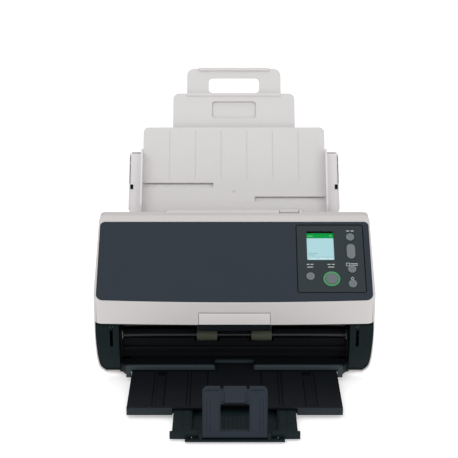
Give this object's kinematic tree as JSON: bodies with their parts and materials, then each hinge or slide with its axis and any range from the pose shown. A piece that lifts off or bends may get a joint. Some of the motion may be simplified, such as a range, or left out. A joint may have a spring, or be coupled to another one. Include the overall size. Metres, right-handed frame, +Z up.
{
  "type": "sheet fed document scanner",
  "caption": "Desktop document scanner: opening feeder half with tilted operator panel, upright feed chute with side guides, and a sliding stacker with folding stopper.",
  "frame": {"origin": "under the middle of the whole object, on the surface it stands on", "axes": "+Z up, -Y towards the user, +X to the user's right"},
  "size_m": [0.3, 0.4186, 0.2799],
  "materials": {
    "casing_light": "fine textured light grey moulded plastic",
    "panel_dark": "dark blue-grey moulded plastic",
    "trim_dark": "charcoal moulded plastic",
    "key_grey": "mid grey moulded plastic",
    "ring_green": "translucent green light ring",
    "display": "lit colour display",
    "clear_window": "clear window",
    "scan_glass": "scan window",
    "circuit_board": "green circuit board",
    "sensor_black": "black sensor housing",
    "roller_rubber": "olive grey roller rubber on a steel shaft",
    "roller_black": "black roller rubber on a steel shaft",
    "steel": "ground steel",
    "frame_steel": "black coated steel",
    "pom": "natural acetal",
    "belt_rubber": "black belt rubber",
    "foot_rubber": "soft black rubber",
    "stacker_dark": "fine textured black-grey plastic",
    "stopper_dark": "smooth dark blue-grey plastic",
    "guide_light": "light grey moulded plastic"
  },
  "bodies": {
    "base": {"bottom_chassis": "frame_steel", "rubber_feet": "foot_rubber", "chassis_screws": "steel", "right_side_cover": "casing_light", "left_side_cover": "casing_light", "right_cheek": "trim_dark", "left_cheek": "trim_dark", "hinge_pins": "steel", "rear_cover": "casing_light", "data_ports": "steel", "dc_inlet": "sensor_black", "main_board": "circuit_board", "output_deck": "trim_dark", "side_frames": "frame_steel", "lower_paper_guide": "trim_dark", "lower_scan_glass": "scan_glass", "lower_sensor_bar": "sensor_black", "drive_motor": "frame_steel", "shaft_bushings": "pom", "drive_belt": "belt_rubber", "chute_plate": "casing_light", "chute_back_cover": "casing_light"},
    "pick": {"pick_rollers": "roller_rubber"},
    "feed": {"feed_rollers": "roller_rubber"},
    "eject": {"eject_shaft": "steel", "eject_rollers": "roller_rubber"},
    "motor": {"motor_pinion": "pom"},
    "feeder": {"feeder_cover": "casing_light", "top_panel": "panel_dark", "operator_bezel": "trim_dark", "display_glass": "clear_window", "display_module": "display", "operator_board": "circuit_board", "scan_ring": "ring_green", "feeder_inner_frame": "trim_dark", "upper_scan_glass": "scan_glass", "upper_sensor_bar": "sensor_black", "hinge_arms": "trim_dark"},
    "brake": {"brake_roller": "roller_rubber"},
    "feed_idler": {"feed_idlers": "roller_black"},
    "eject_idler": {"eject_idlers": "roller_black"},
    "latch": {"latch_hooks": "steel", "release_tab": "casing_light"},
    "guide_flap": {"exit_guide": "casing_light", "exit_guide_lip": "trim_dark"},
    "scan_button": {"scan_key": "key_grey"},
    "stop_button": {"stop_key": "key_grey"},
    "menu_button": {"menu_key": "key_grey"},
    "feed_button": {"feed_key": "key_grey"},
    "power_button": {"power_key": "key_grey"},
    "rocker": {"rocker_key": "key_grey"},
    "guide_right": {"right_guide": "guide_light"},
    "guide_left": {"left_guide": "guide_light"},
    "pinion": {"guide_pinion": "pom"},
    "chute_ext_1": {"chute_extension_lower": "casing_light"},
    "chute_ext_2": {"chute_extension_upper": "casing_light"},
    "stacker": {"stacker_plate": "stacker_dark"},
    "extension_1": {"stacker_extension_1": "stacker_dark"},
    "extension_2": {"stacker_extension_2": "stacker_dark"},
    "stop": {"stopper": "stopper_dark"}
  },
  "joints": [
    {"name": "feeder_open", "type": "hinge", "parent": "base", "child": "feeder", "pos_m": [0, -0.06134, 0.06], "axis": [1, 0, 0], "range_deg": [0, 65]},
    {"name": "latch_release", "type": "hinge", "parent": "feeder", "child": "latch", "pos_m": [0, 0.02716, 0.132], "axis": [-1, 0, 0], "range_deg": [0, 12], "stiffness_Nm_per_rad": 0.05, "springref_deg": -11.46},
    {"name": "exit_guide_swing", "type": "hinge", "parent": "feeder", "child": "guide_flap", "pos_m": [0, -0.06854, 0.0784], "axis": [-1, 0, 0], "range_deg": [0, 40]},
    {"name": "pick_spin", "type": "hinge", "parent": "base", "child": "pick", "pos_m": [0, 0.04956, 0.0762], "axis": [1, 0, 0], "continuous": true},
    {"name": "feed_spin", "type": "hinge", "parent": "base", "child": "feed", "pos_m": [0, 0.02566, 0.057], "axis": [1, 0, 0], "continuous": true},
    {"name": "eject_spin", "type": "hinge", "parent": "base", "child": "eject", "pos_m": [0, -0.04134, 0.0415], "axis": [1, 0, 0], "continuous": true},
    {"name": "motor_spin", "type": "hinge", "parent": "base", "child": "motor", "pos_m": [0, 0.07666, 0.04], "axis": [1, 0, 0], "continuous": true},
    {"name": "brake_spin", "type": "hinge", "parent": "feeder", "child": "brake", "pos_m": [0, 0.03086, 0.0912], "axis": [1, 0, 0], "continuous": true},
    {"name": "feed_idler_spin", "type": "hinge", "parent": "feeder", "child": "feed_idler", "pos_m": [0, 0.01476, 0.0659], "axis": [1, 0, 0], "continuous": true},
    {"name": "eject_idler_spin", "type": "hinge", "parent": "feeder", "child": "eject_idler", "pos_m": [0, -0.04134, 0.0533], "axis": [1, 0, 0], "continuous": true},
    {"name": "scan_press", "type": "slide", "parent": "feeder", "child": "scan_button", "axis": [0, 0.6018, -0.7986], "range_m": [0, 0.0008], "stiffness_N_per_m": 800, "springref_m": -0.0005},
    {"name": "stop_press", "type": "slide", "parent": "feeder", "child": "stop_button", "axis": [0, 0.6018, -0.7986], "range_m": [0, 0.0008], "stiffness_N_per_m": 800, "springref_m": -0.0005},
    {"name": "menu_press", "type": "slide", "parent": "feeder", "child": "menu_button", "axis": [0, 0.6018, -0.7986], "range_m": [0, 0.0008], "stiffness_N_per_m": 800, "springref_m": -0.0005},
    {"name": "feed_press", "type": "slide", "parent": "feeder", "child": "feed_button", "axis": [0, 0.6018, -0.7986], "range_m": [0, 0.0008], "stiffness_N_per_m": 800, "springref_m": -0.0005},
    {"name": "power_press", "type": "slide", "parent": "feeder", "child": "power_button", "axis": [0, 0.6018, -0.7986], "range_m": [0, 0.0008], "stiffness_N_per_m": 800, "springref_m": -0.0005},
    {"name": "rocker_tilt", "type": "hinge", "parent": "feeder", "child": "rocker", "pos_m": [0.126, -0.0187, 0.12865], "axis": [1, 0, 0], "range_deg": [-3.5, 3.5], "stiffness_Nm_per_rad": 0.05},
    {"name": "right_guide_slide", "type": "slide", "parent": "base", "child": "guide_right", "axis": [-1, 0, 0], "range_m": [0, 0.078]},
    {"name": "left_guide_slide", "type": "slide", "parent": "base", "child": "guide_left", "axis": [1, 0, 0], "range_m": [0, 0.078]},
    {"name": "guide_pinion_spin", "type": "hinge", "parent": "base", "child": "pinion", "pos_m": [0, 0.09776, 0.15865], "axis": [0, -0.7771, 0.6293], "range_deg": [-895, 1]},
    {"name": "chute_extension_lower_slide", "type": "slide", "parent": "base", "child": "chute_ext_1", "axis": [0, -0.6293, -0.7771], "range_m": [0, 0.045]},
    {"name": "chute_extension_upper_slide", "type": "slide", "parent": "chute_ext_1", "child": "chute_ext_2", "axis": [0, -0.6293, -0.7771], "range_m": [0, 0.03]},
    {"name": "stacker_slide", "type": "slide", "parent": "base", "child": "stacker", "axis": [0, -1, 0], "range_m": [-0.084, 0]},
    {"name": "extension_1_slide", "type": "slide", "parent": "stacker", "child": "extension_1", "axis": [0, -1, 0], "range_m": [-0.0415, 0]},
    {"name": "extension_2_slide", "type": "slide", "parent": "extension_1", "child": "extension_2", "axis": [0, -1, 0], "range_m": [0, 0.055]},
    {"name": "stopper_fold", "type": "hinge", "parent": "extension_2", "child": "stop", "pos_m": [0, -0.20434, 0.0069], "axis": [1, 0, 0], "range_deg": [-90, 0]}
  ],
  "couplings": [
    {"joint": "eject_spin", "follows": "feed_spin", "ratio": 1.25},
    {"joint": "motor_spin", "follows": "feed_spin", "ratio": 1.3},
    {"joint": "left_guide_slide", "follows": "right_guide_slide", "ratio": 1},
    {"joint": "guide_pinion_spin", "follows": "right_guide_slide", "rad_per_m": -200}
  ]
}
